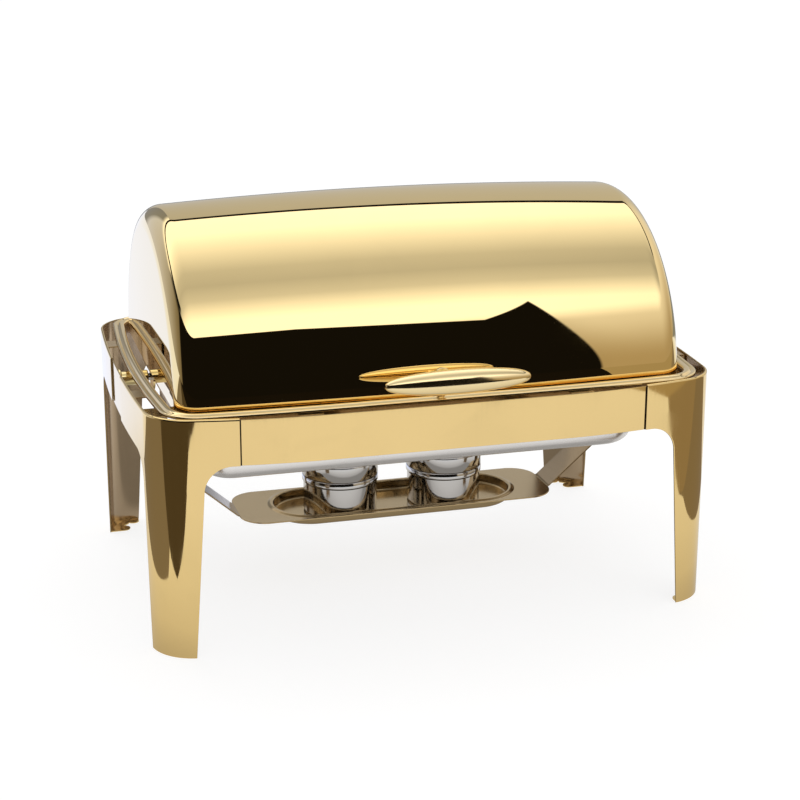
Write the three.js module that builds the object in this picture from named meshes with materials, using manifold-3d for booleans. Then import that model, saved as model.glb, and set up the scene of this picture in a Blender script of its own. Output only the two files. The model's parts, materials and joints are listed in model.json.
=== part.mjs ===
// Roll top chafer: a bowed metal stand on four bent-sheet legs, a half-barrel lid that rolls back
// about two side pivots, a water pan and food pan on an inner carrier, and a fuel tray with two burners.
// Millimetres, +Z up, +X along the lid's pivot axis, -Y towards the handle, origin on the table
// under the middle of the whole, handle included.
import * as THREE from 'three';
import { mergeVertices } from 'three/addons/utils/BufferGeometryUtils.js';
import Module from 'manifold-3d';

const wasm = await Module();
wasm.setup();

// ---- Clearances -------------------------------------------------------------------------------
const GAP = 0.3;          // between parts that are fastened or resting together
const RUN = 0.3;          // radial, round a pin that turns
const PAN_PLAY = 2;       // round a pan that lifts out

// ---- Food pan: the standard size that everything else is built round --------------------------
const FOOD = {
  halfX: 265, halfY: 162.5, depth: 65, draft: 4, corner: 24, floorFillet: 14, flange: 1.2, rim: 13,
};
const PAN_SHEET = 1;

// ---- Lid --------------------------------------------------------------------------------------
const LID = {
  sheet: 1.2, fillet: 26,
  radius: FOOD.halfY + 38,
  endX: FOOD.halfX + 21,
  crown: 7,               // how much slimmer the barrel is where its end fillets start
  dome: 1.5,
  edgeAbovePivot: 10,
};

// ---- Rim ring ---------------------------------------------------------------------------------
const RING = { width: 14, height: 4.6, belowTop: 1.5 };
const RING_PLAN = {
  halfWidth: LID.endX + RING.width + 10.8,
  halfDepth: LID.radius + RING.width + 7.5,
  bowRun: 180.8,          // how far the bowed part of the front runs in from the widest point
  frontSweep: rad(4),     // how far the front has turned where the corner starts
  sideSweep: rad(5.4),
  corner: 43,
};

// ---- Stand ------------------------------------------------------------------------------------
const SHEET = 1.5;
const STAND = {
  halfWidth: RING_PLAN.halfWidth + SHEET + 11.9,
  halfDepth: RING_PLAN.halfDepth + SHEET + 10,
  bowRun: 194.2,
  frontSweep: rad(12.5),
  sideSweep: rad(4),
  corner: 50,
};
const BAND = { bottom: 215, height: 51.5, lip: 1.1, lipRise: 2 };
BAND.top = BAND.bottom + BAND.height;
const SEAM = { fromSide: 98.2, side: 38, overlap: 12 };  // where leg pieces end over the panels
const LEG = {
  archRadius: 30,
  frontTopInset: 60.7,    // from the stand's widest point in to the leg's inner edge, under the arch
  frontFootInset: 47.2,
  sideTopInset: 67,
  sideFootInset: 55.8,
};
const FOOT = { strip: 11, lobe: 15, reach: 33 };

// ---- Pivots and handle ------------------------------------------------------------------------
const PIVOT_Z = BAND.top - 14.5;
const EAR = { thick: 2.5, round: 15, halfWidth: 30, rise: 52, shoulder: 28 };
const PIN = { radius: 4, intoBoss: 14, pastSkirt: 5 };
const BOSS = { radius: 8, flange: 3, bore: PIN.intoBoss + 1, lidPlay: 1 };
const HANDLE = {
  axisRadius: LID.radius + 59.5, tilt: rad(10), halfLength: 79.4, radius: 13.2, taper: 0.42,
  postRadius: 4.5, base: 9, baseThick: 3, screw: 2.5, screwDepth: 16, washer: 8, washerThick: 1.2,
};

// ---- Carrier and water pan --------------------------------------------------------------------
const CARRIER = {
  halfX: FOOD.halfX + 8, halfY: FOOD.halfY + 10.5, ledge: 15.5, skirt: 30, top: BAND.top - 4,
  corner: 34,
};
const WATER = { flangeInset: 2, depth: 95, draft: 6, corner: 27, floorFillet: 20, flange: 1.2 };
WATER.top = CARRIER.top + GAP + WATER.flange;

// ---- Brackets ---------------------------------------------------------------------------------
const STRIP = 1.5;
const CLIP = { width: 26, drop: 24, reach: 11.2, frontX: 150, sideY: 105 };
const ARM = { width: 30, thick: 2, frontX: 110, sideY: 70 };

// ---- Burners and fuel tray --------------------------------------------------------------------
const BURNER = {
  spacing: 64, radius: 43.5, height: 66, wall: 1.2, capOver: 1.5, capDrop: 28, capSheet: 1.2,
};
BURNER.mouth = BURNER.radius - 16.5;
const DAMPER = { radius: BURNER.mouth + 3, thick: 1.2, hubOut: BURNER.radius - 7, tab: 9,
  rivet: 2.4, rivetHead: 4.5 };
const TRAY = { recessDepth: 12, flameGap: 31.2, edge: 7.5, wing: 44, corner: 31 };
TRAY.recessHalfY = BURNER.radius + 3;
TRAY.recessHalfX = BURNER.spacing + BURNER.radius + 38.5;
TRAY.halfX = TRAY.recessHalfX + TRAY.wing;
TRAY.halfY = TRAY.recessHalfY + TRAY.edge;
TRAY.top = WATER.top - WATER.depth - TRAY.flameGap - BURNER.height + TRAY.recessDepth;
const STRAP = { halfWidth: 22, tab: 20, slope: rad(41), topBelowPivot: 6 };

function rad(degrees) {
  return THREE.MathUtils.degToRad(degrees);
}

// ---- From geometry to solid and back ----------------------------------------------------------
function solid(geometry) {
  geometry.deleteAttribute('normal');
  geometry.deleteAttribute('uv');
  const merged = mergeVertices(geometry, 1e-4);
  return new wasm.Manifold(new wasm.Mesh({
    numProp: 3,
    vertProperties: merged.attributes.position.array,
    triVerts: new Uint32Array(merged.index.array),
  }));
}

function geometryOf(manifold) {
  const { vertProperties, triVerts } = manifold.getMesh();
  const geometry = new THREE.BufferGeometry();
  geometry.setAttribute('position', new THREE.BufferAttribute(new Float32Array(vertProperties), 3));
  geometry.setIndex(new THREE.BufferAttribute(new Uint32Array(triVerts), 1));
  const flat = geometry.toNonIndexed();
  flat.computeVertexNormals();
  return flat;
}

function box(x0, x1, y0, y1, z0, z1) {
  const geometry = new THREE.BoxGeometry(x1 - x0, y1 - y0, z1 - z0);
  return solid(geometry.translate((x0 + x1) / 2, (y0 + y1) / 2, (z0 + z1) / 2));
}

// A shape drawn in XY, from height z0 to z1.
function plate(shape, z0, z1) {
  const geometry = new THREE.ExtrudeGeometry(shape, { depth: z1 - z0, bevelEnabled: false });
  return solid(geometry.translate(0, 0, z0));
}

// A shape drawn in (x, z), as thick as y0 to y1.
function plateAlongY(shape, y0, y1) {
  const geometry = new THREE.ExtrudeGeometry(shape, { depth: y1 - y0, bevelEnabled: false });
  return solid(geometry.rotateX(Math.PI / 2).translate(0, y1, 0));
}

// A shape drawn in (y, z), as thick as x0 to x1.
function plateAlongX(shape, x0, x1) {
  const geometry = new THREE.ExtrudeGeometry(shape, { depth: x1 - x0, bevelEnabled: false });
  return solid(geometry.rotateY(Math.PI / 2).rotateX(Math.PI / 2).translate(x0, 0, 0));
}

// A profile of [radius, height] pairs turned about the Z axis.
function turned(profile, segments = 40) {
  const points = profile.map(([radius, height]) => new THREE.Vector2(radius, height));
  return new THREE.LatheGeometry(points, segments).rotateX(Math.PI / 2);
}

function disc(radius, z0, z1, segments = 24) {
  return turned([[0, z0], [radius, z0], [radius, z1], [0, z1]], segments);
}

function shapeOf(points) {
  return new THREE.Shape(points.map(([x, y]) => new THREE.Vector2(x, y)));
}

// ---- Plan outlines ----------------------------------------------------------------------------
// A rectangle with bowed sides: straight in the middle of the front, then a slow curve, a corner
// and a slow curve down the side. Inset moves the whole outline in by that distance.
function bowedOutline(plan, inset = 0) {
  const w = plan.halfWidth - inset;
  const d = plan.halfDepth - inset;
  const corner = plan.corner - inset;
  const flat = plan.halfWidth - plan.bowRun;
  const [sf, cf] = [Math.sin(plan.frontSweep), Math.cos(plan.frontSweep)];
  const [ss, cs] = [Math.sin(plan.sideSweep), Math.cos(plan.sideSweep)];
  // The two bow radii that make the quarter end on the stated width and depth.
  const acrossLeft = w - flat - corner * (cs - sf);
  const alongLeft = d - corner * (cf - ss);
  const det = sf * ss - (1 - cs) * (1 - cf);
  const frontBow = (acrossLeft * ss - (1 - cs) * alongLeft) / det;
  const sideBow = (sf * alongLeft - (1 - cf) * acrossLeft) / det;
  const arcs = [
    [frontBow, 0, plan.frontSweep, 4],
    [corner, plan.frontSweep, Math.PI / 2 - plan.sideSweep, 8],
    [sideBow, Math.PI / 2 - plan.sideSweep, Math.PI / 2, 4],
  ];
  const quarter = [[0, -d], [flat, -d]];
  for (const [radius, from, to, steps] of arcs) {
    const [x, y] = quarter[quarter.length - 1];
    for (let i = 1; i <= steps; i++) {
      const heading = from + (to - from) * i / steps;
      quarter.push([
        x + radius * (Math.sin(heading) - Math.sin(from)),
        y + radius * (Math.cos(from) - Math.cos(heading)),
      ]);
    }
  }
  const half = [...quarter, ...quarter.slice(0, -1).reverse().map(([x, y]) => [x, -y])];
  return [...half, ...half.slice(1, -1).reverse().map(([x, y]) => [-x, y])];
}

function roundedRect(halfX, halfY, radius, steps = 6) {
  const points = [];
  for (let quarter = 0; quarter < 4; quarter++) {
    const [sx, sy] = [[1, -1], [1, 1], [-1, 1], [-1, -1]][quarter];
    for (let i = 0; i <= steps; i++) {
      const angle = -Math.PI / 2 + (quarter + i / steps) * Math.PI / 2;
      points.push([
        sx * (halfX - radius) + radius * Math.cos(angle),
        sy * (halfY - radius) + radius * Math.sin(angle),
      ]);
    }
  }
  return points;
}

// A skin through outlines that all have the same number of points, each at its own height. Closed
// in a ring it is a frame; otherwise its first and last outlines are capped, as in a pan.
function loft(levels, ring = false) {
  const count = levels[0].outline.length;
  const positions = levels.flatMap(({ outline, z }) => outline.flatMap(([x, y]) => [x, y, z]));
  const index = [];
  const bands = ring ? levels.length : levels.length - 1;
  for (let level = 0; level < bands; level++) {
    const low = level * count;
    const high = ((level + 1) % levels.length) * count;
    for (let i = 0; i < count; i++) {
      const next = (i + 1) % count;
      index.push(low + i, low + next, high + next, low + i, high + next, high + i);
    }
  }
  if (!ring) {
    const last = (levels.length - 1) * count;
    for (let i = 1; i < count - 1; i++) {
      index.push(0, i + 1, i, last, last + i, last + i + 1);
    }
  }
  const geometry = new THREE.BufferGeometry();
  geometry.setAttribute('position', new THREE.Float32BufferAttribute(positions, 3));
  geometry.setIndex(index);
  return solid(geometry);
}

// A cross-section of [inset, z] pairs, outside upwards, carried round a bowed outline.
function bowedRing(plan, section) {
  return loft(section.map(([inset, z]) => ({ outline: bowedOutline(plan, inset), z })), true);
}

// A bent strip: its middle line in the plane it is drawn in, and its thickness.
function stripShape(path, thick) {
  const side = (sign) => path.map(([u, v], i) => {
    const before = path[Math.max(i - 1, 0)];
    const after = path[Math.min(i + 1, path.length - 1)];
    const a = Math.atan2(v - before[1], u - before[0]);
    const b = Math.atan2(after[1] - v, after[0] - u);
    const [from, to] = i === 0 ? [b, b] : i === path.length - 1 ? [a, a] : [a, b];
    const reach = sign * thick / 2 / Math.cos((to - from) / 2);
    const normal = (from + to) / 2 + Math.PI / 2;
    return [u + reach * Math.cos(normal), v + reach * Math.sin(normal)];
  });
  return shapeOf([...side(-1), ...side(1).reverse()]);
}

// ---- Stand pieces -----------------------------------------------------------------------------
// The whole stand wall with its turned-in top lip, before it is divided into legs.
function standWall() {
  const { bottom, top, lip, lipRise } = BAND;
  return bowedRing(STAND, [
    [0, 0], [0, bottom], [0, top - lipRise], [lipRise * 0.29, top - lipRise * 0.29],
    [lipRise, top], [SHEET + lip, top], [SHEET + lip, top - SHEET], [SHEET, top - SHEET], [SHEET, 0],
  ]);
}

// The half of a wall face that belongs to a leg, drawn with u outwards and v up.
function legFace(seam, topInset, footInset, reach) {
  const shape = new THREE.Shape();
  const { bottom } = BAND;
  const r = LEG.archRadius;
  shape.moveTo(seam, BAND.top + 10);
  shape.lineTo(seam, bottom);
  shape.lineTo(topInset - r, bottom);
  shape.absarc(topInset - r, bottom - r, r, Math.PI / 2, 0, true);
  shape.lineTo(footInset, -10);
  shape.lineTo(reach, -10);
  shape.lineTo(reach, BAND.top + 10);
  return shape;
}

// The turned-in foot at one corner: a narrow strip along the wall and a round-tipped lobe at each end.
function footFlange() {
  const { halfWidth, halfDepth } = STAND;
  const { strip, lobe, reach } = FOOT;
  const innerX = halfWidth - LEG.frontFootInset;
  const innerY = halfDepth - LEG.sideFootInset;
  const whole = plate(shapeOf(bowedOutline(STAND)), 0, SHEET);
  const inside = plate(shapeOf(bowedOutline(STAND, strip)), -1, SHEET + 1);
  const corner = box(innerX, halfWidth + 1, innerY, halfDepth + 1, -1, SHEET + 1);
  const frontTip = solid(disc(lobe / 2, 0, SHEET).translate(innerX + lobe / 2, halfDepth - reach, 0));
  const sideTip = solid(disc(lobe / 2, 0, SHEET).translate(halfWidth - reach, innerY + lobe / 2, 0));
  const frontLobe = box(innerX, innerX + lobe, halfDepth - reach, halfDepth, 0, SHEET).add(frontTip);
  const sideLobe = box(halfWidth - reach, halfWidth, innerY, innerY + lobe, 0, SHEET).add(sideTip);
  return whole.subtract(inside).add(frontLobe).add(sideLobe).intersect(whole).intersect(corner);
}

function leg(sx, sy) {
  const { halfWidth, halfDepth } = STAND;
  const frontSeam = halfWidth - SEAM.fromSide;
  const alongFront = plateAlongY(
    legFace(frontSeam, halfWidth - LEG.frontTopInset, halfWidth - LEG.frontFootInset, halfWidth + 5),
    1, halfDepth + 5);
  const alongSide = plateAlongX(
    legFace(SEAM.side, halfDepth - LEG.sideTopInset, halfDepth - LEG.sideFootInset, halfDepth + 5),
    1, halfWidth + 5);
  const quarter = standWall().intersect(alongFront).intersect(alongSide).add(footFlange());
  return quarter.scale([sx, sy, 1]);
}

// A centre panel stands just behind the leg pieces that overlap its ends.
function centrePanel(cutter) {
  const front = SHEET + GAP;
  const back = front + SHEET;
  const top = BAND.top - SHEET - GAP;
  const wall = bowedRing(STAND, [
    [front, BAND.bottom], [front, top - 0.8], [front + 0.5, top], [back, top], [back, BAND.bottom],
  ]);
  return wall.intersect(cutter);
}

function frontPanel(sy) {
  const reach = STAND.halfWidth - SEAM.fromSide + SEAM.overlap;
  const far = STAND.halfDepth + 5;
  return centrePanel(box(-reach, reach, 1, far, 0, far + BAND.top)).scale([1, sy, 1]);
}

function sidePanel(sx) {
  const reach = SEAM.side + SEAM.overlap;
  const far = STAND.halfWidth + 5;
  return centrePanel(box(1, far, -reach, reach, 0, far)).scale([sx, 1, 1]);
}

const RING_BOTTOM = BAND.top - RING.belowTop;

function rimRing() {
  const { width: w, height: h } = RING;
  const z = RING_BOTTOM;
  return bowedRing(RING_PLAN, [
    [0, z], [0, z + 0.35 * h], [0.08 * w, z + 0.7 * h], [0.22 * w, z + 0.75 * h],
    [0.38 * w, z + 0.45 * h], [0.52 * w, z + 0.85 * h], [0.72 * w, z + h], [0.92 * w, z + 0.85 * h],
    [w, z + 0.5 * h], [w, z],
  ]);
}

// ---- Lid pieces -------------------------------------------------------------------------------
// Half of the lid's outline as [radius, x] pairs, from the middle of the barrel to the end's centre.
function lidHalfProfile(inset) {
  const { radius, crown, fillet, dome, endX } = LID;
  const barrel = endX - dome - fillet;
  const endRadius = radius - crown - fillet;
  const points = [];
  for (let i = 0; i <= 4; i++) {
    points.push([radius - inset - crown * (i / 4) ** 2, barrel * i / 4]);
  }
  for (let i = 1; i <= 5; i++) {
    const turn = Math.PI / 2 * i / 5;
    points.push([
      endRadius + (fillet - inset) * Math.cos(turn),
      barrel + (fillet - inset) * Math.sin(turn),
    ]);
  }
  for (let i = 2; i >= 0; i--) {
    const share = i / 3;
    points.push([endRadius * share, endX - inset - dome * share ** 2]);
  }
  return points;
}

function lidSolid(inset) {
  const half = lidHalfProfile(inset);
  const whole = [...half.slice(1).map(([r, x]) => [r, -x]).reverse(), ...half];
  return solid(turned(whole, 60).rotateY(Math.PI / 2).translate(0, 0, PIVOT_Z));
}

function towardsHandle(geometry) {
  return geometry.rotateX(Math.PI / 2 - HANDLE.tilt).translate(0, 0, PIVOT_Z);
}

function lidShell() {
  const edge = PIVOT_Z + LID.edgeAbovePivot;
  const keep = box(-LID.endX - 5, LID.endX + 5, -LID.radius - 5, LID.radius + 5, edge,
    PIVOT_Z + LID.radius + 5);
  const hole = solid(towardsHandle(disc(HANDLE.screw + GAP, LID.radius - 10, LID.radius + 5, 20)));
  return lidSolid(0).subtract(lidSolid(LID.sheet)).intersect(keep).subtract(hole);
}

// The pivot ear stands inside the lid's end and hangs below its edge round the pin.
function lidEar(sx) {
  const { round, halfWidth, rise, shoulder, thick } = EAR;
  const outer = LID.endX - LID.dome - LID.sheet - GAP;
  const shape = new THREE.Shape();
  shape.moveTo(round, PIVOT_Z);
  shape.lineTo(halfWidth, PIVOT_Z + shoulder);
  shape.lineTo(halfWidth, PIVOT_Z + rise);
  shape.lineTo(-halfWidth, PIVOT_Z + rise);
  shape.lineTo(-halfWidth, PIVOT_Z + shoulder);
  shape.lineTo(-round, PIVOT_Z);
  shape.absarc(0, PIVOT_Z, round, Math.PI, 2 * Math.PI, false);
  const bore = pivotBore(PIN.radius + RUN, outer - thick - 1, outer + 1);
  return plateAlongX(shape, outer - thick, outer).subtract(bore).scale([sx, 1, 1]);
}

// A profile of [radius, x] pairs turned about the lid's pivot axis.
function alongPivot(profile, segments = 32) {
  return solid(turned(profile, segments).rotateY(Math.PI / 2).translate(0, 0, PIVOT_Z));
}

function pivotBore(radius, from, to) {
  return solid(disc(radius, from, to, 32).rotateY(Math.PI / 2).translate(0, 0, PIVOT_Z));
}

// The fixed pivot boss reaches from the side panel, under the rim ring, to the lid's end.
function pivotBoss(sx) {
  const from = LID.endX + BOSS.lidPlay;
  const to = STAND.halfWidth - 2 * SHEET - 2 * GAP;
  const bore = PIN.radius + GAP;
  return alongPivot([
    [0, from + BOSS.bore], [bore, from + BOSS.bore], [bore, from], [BOSS.radius - 1, from],
    [BOSS.radius, from + 1], [BOSS.radius, to - 4], [BOSS.radius + BOSS.flange, to - 3],
    [BOSS.radius + BOSS.flange, to],
    [0, to],
  ]).scale([sx, 1, 1]);
}

function pivotPin(sx) {
  const from = CARRIER.halfX - PIN.pastSkirt;
  const to = LID.endX + BOSS.lidPlay + PIN.intoBoss;
  return alongPivot([
    [0, from], [PIN.radius - 0.8, from], [PIN.radius, from + 0.8], [PIN.radius, to], [0, to],
  ]).scale([sx, 1, 1]);
}

function handleGrip() {
  const profile = [];
  const steps = 22;
  for (let i = 0; i <= steps; i++) {
    const u = -Math.cos(Math.PI * i / steps);
    const swell = Math.max(1 - u * u, 0) ** HANDLE.taper;
    profile.push([HANDLE.radius * swell, HANDLE.halfLength * u]);
  }
  const { axisRadius, tilt } = HANDLE;
  return solid(turned(profile, 28).rotateY(Math.PI / 2)
    .translate(0, -axisRadius * Math.cos(tilt), PIVOT_Z + axisRadius * Math.sin(tilt)));
}

function handlePost() {
  const from = LID.radius + GAP;
  const to = HANDLE.axisRadius - HANDLE.radius - GAP;
  const { base, baseThick, postRadius: post, screw, screwDepth } = HANDLE;
  const bore = screw + GAP;
  return solid(towardsHandle(turned([
    [0, from + screwDepth], [bore, from + screwDepth], [bore, from], [base, from],
    [base, from + baseThick - 1], [base - 1, from + baseThick], [post + 1.5, from + baseThick + 1],
    [post, from + baseThick + 4], [post, to], [0, to],
  ], 28)));
}

// The washer is flat and the lid is curved, so it stands off by a little more than the usual gap.
const WASHER_PLAY = 0.5;

function handleWasher() {
  const { screw, washer, washerThick } = HANDLE;
  const to = LID.radius - LID.sheet - WASHER_PLAY;
  const bore = screw + GAP;
  return solid(towardsHandle(turned([
    [bore, to - washerThick], [washer, to - washerThick], [washer, to], [bore, to],
    [bore, to - washerThick],
  ], 28)));
}

function handleScrew() {
  const seat = LID.radius - LID.sheet - WASHER_PLAY - HANDLE.washerThick - GAP;
  const tip = LID.radius + GAP + HANDLE.screwDepth - 1;
  return solid(towardsHandle(turned([
    [0, seat - 3], [3.4, seat - 2.8], [5, seat - 0.9], [5, seat], [HANDLE.screw, seat],
    [HANDLE.screw, tip], [0, tip],
  ], 24)));
}

// ---- Carrier and pans -------------------------------------------------------------------------
function carrier() {
  const { halfX, halfY, ledge, skirt, top, corner } = CARRIER;
  const level = (inset, z) => ({ outline: roundedRect(halfX - inset, halfY - inset, corner - inset), z });
  const frame = loft([
    level(0, top - skirt), level(0, top - 1), level(1, top), level(ledge, top),
    level(ledge, top - SHEET), level(SHEET, top - SHEET), level(SHEET, top - skirt),
  ], true);
  const bore = pivotBore(PIN.radius + GAP, halfX - 8, halfX + 5);
  return frame.subtract(bore).subtract(bore.scale([-1, 1, 1]));
}

// A drawn pan: tapering walls on a filleted floor, and a flat flange round its mouth.
function pan({ halfX, halfY, corner, depth, draft, floorFillet, flange, rim }, top) {
  const steps = 4;
  const level = (inset, z, radius = corner) => ({
    outline: roundedRect(halfX - inset, halfY - inset, Math.max(radius - inset * 0.3, 4)), z,
  });
  const outside = [];
  const inside = [];
  for (let i = 0; i <= steps; i++) {
    const turn = Math.PI / 2 * i / steps;
    const back = floorFillet * (1 - Math.sin(turn));
    const lift = floorFillet * (1 - Math.cos(turn));
    outside.push(level(rim + draft + back, top - depth + lift));
    inside.unshift(level(rim + draft + PAN_SHEET + back, top - depth + PAN_SHEET + lift));
  }
  return loft([
    ...outside,
    level(rim, top - flange), level(0, top - flange, corner + rim), level(0, top, corner + rim),
    level(rim + PAN_SHEET, top),
    ...inside,
  ]);
}

function waterPan() {
  const inset = WATER.flangeInset;
  return pan({
    ...WATER, halfX: CARRIER.halfX - inset, halfY: CARRIER.halfY - inset,
    rim: CARRIER.ledge - inset + PAN_PLAY,
  }, WATER.top);
}

function foodPan() {
  return pan(FOOD, WATER.top + GAP + FOOD.flange);
}

// ---- Brackets ---------------------------------------------------------------------------------
// Turns a strip drawn for the +Y side to the front or back, or for the +X side to left or right.
function frontStrip(path, thick, x, width, sy) {
  return plateAlongX(stripShape(path, thick), x - width / 2, x + width / 2).scale([1, sy, 1]);
}

function sideStrip(path, thick, y, width, sx) {
  return plateAlongY(stripShape(path, thick), y - width / 2, y + width / 2).scale([sx, 1, 1]);
}

// An angle clip under the rim ring, fastened to the stand wall at distance `wall` from the middle.
function clipPath(wall, ringOuter) {
  const outer = wall - GAP - STRIP / 2;
  const top = RING_BOTTOM - GAP - STRIP / 2;
  return [[outer, top - CLIP.drop], [outer, top], [ringOuter - CLIP.reach, top]];
}

function frontClip(sx, sy) {
  const x = sx * CLIP.frontX;
  const wall = frontWallAt(CLIP.frontX + CLIP.width / 2) - 2 * SHEET - GAP;
  return frontStrip(clipPath(wall, RING_PLAN.halfDepth), STRIP, x, CLIP.width, sy);
}

function sideClip(sx, sy) {
  const wall = sideWallAt(CLIP.sideY + CLIP.width / 2) - SHEET;
  return sideStrip(clipPath(wall, RING_PLAN.halfWidth), STRIP, sy * CLIP.sideY, CLIP.width, sx);
}

// How far out the stand's outline is: in Y at a given x on the front, in X at a given y on the side.
function frontWallAt(x) {
  return crossing(bowedOutline(STAND), 0, x, 1);
}

function sideWallAt(y) {
  return crossing(bowedOutline(STAND), 1, y, 0);
}

function crossing(outline, along, value, across) {
  let far = 0;
  outline.forEach((a, i) => {
    const b = outline[(i + 1) % outline.length];
    const share = (value - a[along]) / (b[along] - a[along]);
    if (share >= 0 && share <= 1) far = Math.max(far, a[across] + (b[across] - a[across]) * share);
  });
  return far;
}

// A U-shaped arm from the stand wall in to the carrier's skirt, low enough to miss the lid's edge.
function armPath(wall, skirt) {
  const outer = wall - GAP - ARM.thick / 2;
  const inner = skirt + GAP + ARM.thick / 2;
  const low = CARRIER.top - CARRIER.skirt - ARM.thick;
  return [[outer, low + CARRIER.skirt], [outer, low], [inner, low], [inner, low + CARRIER.skirt]];
}

function frontArm(sx) {
  const wall = frontWallAt(ARM.frontX + ARM.width / 2) - 2 * SHEET - GAP;
  return frontStrip(armPath(wall, CARRIER.halfY), ARM.thick, sx * ARM.frontX, ARM.width, -1);
}

function sideArm(sx) {
  const wall = sideWallAt(ARM.sideY + ARM.width / 2) - SHEET;
  return sideStrip(armPath(wall, CARRIER.halfX), ARM.thick, -ARM.sideY, ARM.width, sx);
}

// ---- Fuel tray --------------------------------------------------------------------------------
function fuelTray() {
  const { top, halfX, halfY, corner, recessHalfX: rx, recessHalfY: ry, recessDepth: deep } = TRAY;
  const sheet = plate(shapeOf(roundedRect(halfX, halfY, corner, 8)), top - SHEET, top);
  const bowl = (inset, z) => ({ outline: roundedRect(rx - inset, ry - inset, ry - inset - 0.1, 12), z });
  const outside = loft([bowl(1.5 - SHEET, top - deep - SHEET), bowl(-SHEET, top - deep + 1),
    bowl(-SHEET, top - SHEET / 2)]);
  const hollow = loft([bowl(1.5, top - deep), bowl(0, top - deep + 1.5), bowl(0, top + 1)]);
  return sheet.add(outside).subtract(hollow);
}

// The tray hangs on a strap at each end, which rises outwards and then up inside the carrier.
function trayStrap(sx) {
  const under = TRAY.top - SHEET - GAP - STRIP / 2;
  const upright = CARRIER.halfX - SHEET - GAP - STRIP / 2;
  const rise = (upright - TRAY.halfX) * Math.tan(STRAP.slope);
  return sideStrip([
    [TRAY.halfX - STRAP.tab, under], [TRAY.halfX + 0.6, under], [upright, under + rise],
    [upright, PIVOT_Z - PIN.radius - GAP - STRAP.topBelowPivot],
  ], STRIP, 0, 2 * STRAP.halfWidth, sx);
}

// ---- Burners ----------------------------------------------------------------------------------
const BURNER_FLOOR = TRAY.top - TRAY.recessDepth + GAP;

function atBurner(sx, geometry) {
  return solid(geometry.translate(sx * BURNER.spacing, 0, BURNER_FLOOR));
}

function burnerCup(sx) {
  const { radius: r, wall, height } = BURNER;
  const top = height - GAP - BURNER.capSheet;
  return atBurner(sx, turned([
    [0, 0], [r - 2, 0], [r, 2], [r, top], [r - wall, top], [r - wall, 2 + wall],
    [r - wall - 1, wall], [0, wall],
  ]));
}

function burnerCap(sx) {
  const { radius: r, capOver, capDrop, height, mouth, capSheet: t } = BURNER;
  const inner = r + GAP;
  const out = r + capOver;
  const low = height - capDrop;
  const cap = atBurner(sx, turned([
    [inner, low], [out - 0.6, low], [out, low + 0.6], [out, height - 2], [out - 2, height],
    [mouth, height], [mouth, height - t], [inner, height - t], [inner, low],
  ]));
  const hole = atBurner(sx, disc(DAMPER.rivet + GAP, height - 5, height + 5, 20)
    .translate(0, DAMPER.hubOut, 0));
  return cap.subtract(hole);
}

// The damper turns on its rivet to cover the mouth or bare it; its tab is for a finger or tongs.
function burnerDamper(sx) {
  const { radius: r, thick, hubOut, tab, rivet } = DAMPER;
  const z = BURNER.height + GAP;
  const cover = disc(r, z, z + thick, 36);
  const hub = disc(tab, z, z + thick).translate(0, hubOut, 0);
  const hole = disc(rivet + RUN, z - 1, z + 3, 20).translate(0, hubOut, 0);
  const web = new THREE.BoxGeometry(2 * tab, hubOut - r / 2, thick)
    .translate(0, (hubOut + r / 2) / 2, z + thick / 2);
  const lift = new THREE.BoxGeometry(tab * 1.4, thick, tab)
    .translate(0, -r + 3, z + tab / 2);
  const flat = solid(cover).add(solid(hub)).add(solid(web)).add(solid(lift)).subtract(solid(hole));
  return flat.translate([sx * BURNER.spacing, 0, BURNER_FLOOR]);
}

function damperRivet(sx) {
  const { rivet, rivetHead, thick, hubOut } = DAMPER;
  const under = BURNER.height - BURNER.capSheet - GAP;
  const seat = BURNER.height + 2 * GAP + thick;
  return atBurner(sx, turned([
    [0, under - 1.2], [rivetHead, under - 1.2], [rivetHead, under], [rivet, under], [rivet, seat],
    [rivetHead, seat], [rivetHead - 1.2, seat + 1.4], [0, seat + 1.6],
  ], 20).translate(0, hubOut, 0));
}

// ---- Materials --------------------------------------------------------------------------------
function metal(color, roughness) {
  return () => new THREE.MeshStandardMaterial({ color, roughness, metalness: 1 });
}
const mirrorGold = metal(0xe2bd6a, 0.08);
const satinGold = metal(0xcfa96a, 0.25);
const brass = metal(0xd8c06a, 0.3);
const mirrorSteel = metal(0xb9babd, 0.12);
const satinSteel = metal(0xc3c4c8, 0.35);

// ---- Assembly ---------------------------------------------------------------------------------
const chafer = new THREE.Group();
chafer.name = 'roll_top_chafer';

// Every piece is shaped about the middle of the stand, then moved back by half of how far the handle
// reaches past it, so that the origin is under the middle of the whole.
const handleReach = HANDLE.axisRadius * Math.cos(HANDLE.tilt) + HANDLE.radius;
const standReach = STAND.halfDepth - SHEET - GAP;
const toMiddle = (handleReach - standReach) / 2;

function add(name, manifold, material) {
  const mesh = new THREE.Mesh(geometryOf(manifold.translate(0, toMiddle, 0)), material());
  mesh.name = name;
  chafer.add(mesh);
}

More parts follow.
